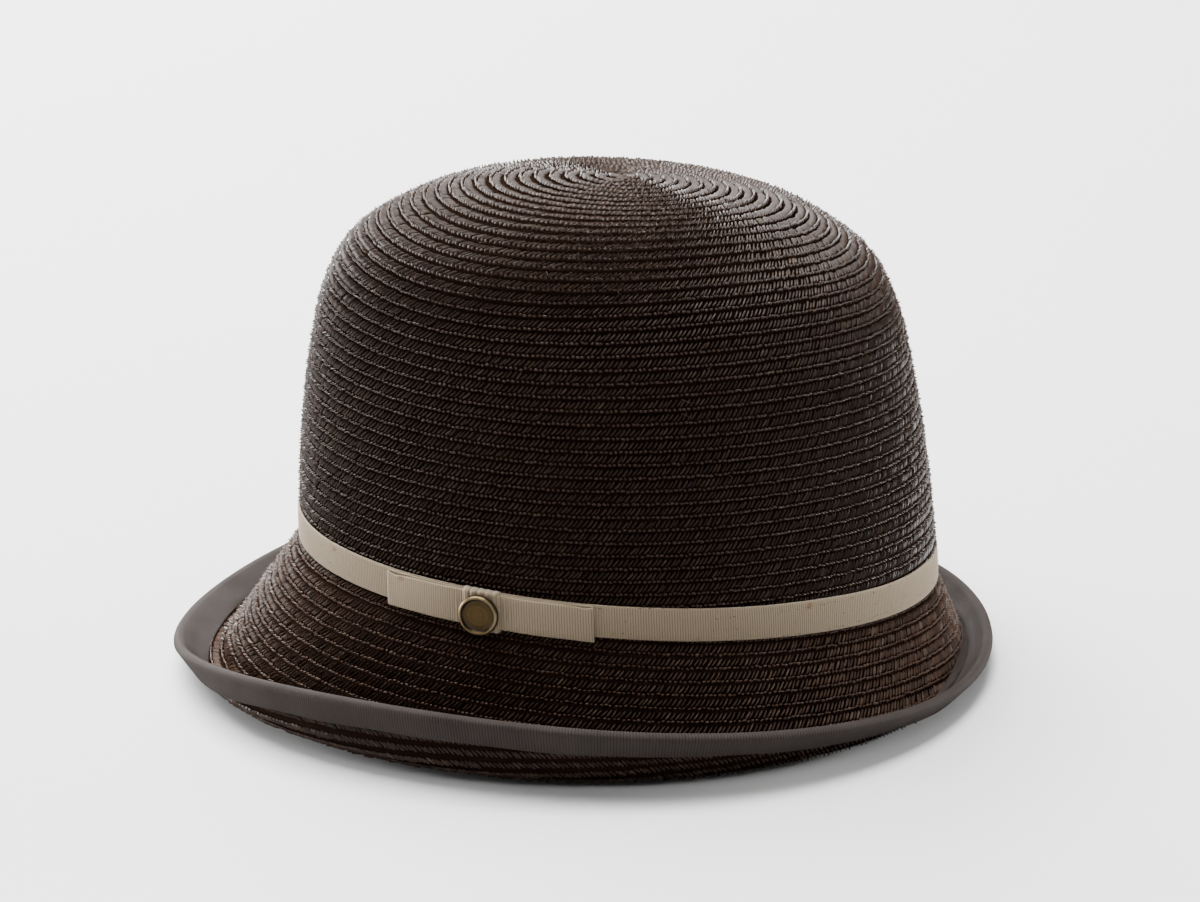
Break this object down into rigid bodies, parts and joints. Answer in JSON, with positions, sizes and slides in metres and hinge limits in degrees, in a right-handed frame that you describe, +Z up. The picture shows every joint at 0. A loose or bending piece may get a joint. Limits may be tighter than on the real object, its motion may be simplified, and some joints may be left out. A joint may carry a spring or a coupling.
{
  "type": "straw braid cloche hat",
  "caption": "Dark brown sewn straw cloche hat with a beige ribbon band, flat bow, antique metal button and ribbon-bound turned-up brim.",
  "frame": {"origin": "centre of the hat's outline seen from above, on the surface it rests on", "axes": "+Z up, -Y towards the front of the hat, +X towards the wearer's left"},
  "size_m": [0.2456, 0.252, 0.1511],
  "materials": {
    "straw": "satin",
    "brim_straw": "satin",
    "ribbon": "matte",
    "bow_ribbon": "matte",
    "knot_ribbon": "matte",
    "edge_ribbon": "matte",
    "brass": "satin"
  },
  "bodies": {
    "root": {"crown": "straw", "brim": "brim_straw", "band": "ribbon", "bow": "bow_ribbon", "knot": "knot_ribbon", "button": "brass", "binding": "edge_ribbon"}
  },
  "joints": []
}
